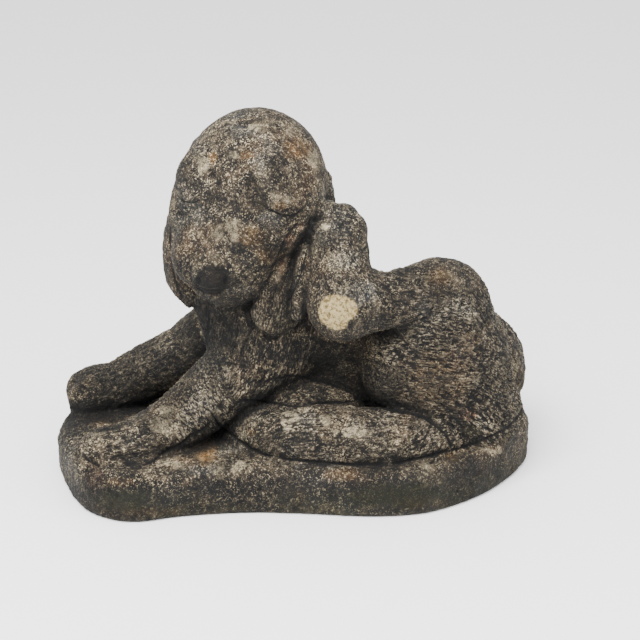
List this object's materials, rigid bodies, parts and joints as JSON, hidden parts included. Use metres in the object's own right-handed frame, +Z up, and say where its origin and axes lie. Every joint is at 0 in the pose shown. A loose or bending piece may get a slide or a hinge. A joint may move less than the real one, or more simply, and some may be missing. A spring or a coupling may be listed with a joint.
{
  "type": "garden statue",
  "caption": "Cast-stone garden statue of a spaniel lying on a thick plinth of free outline and scratching its ear with a hind foot.",
  "frame": {"origin": "middle of the underside of the plinth, on the ground", "axes": "+Z up; +X along the plinth from the forepaws to the rump; the dog's face is turned towards -Y"},
  "size_m": [0.4637, 0.2878, 0.35],
  "materials": {
    "weathered_stone": null
  },
  "bodies": {
    "root": {"spaniel_statue": "weathered_stone"}
  },
  "joints": []
}
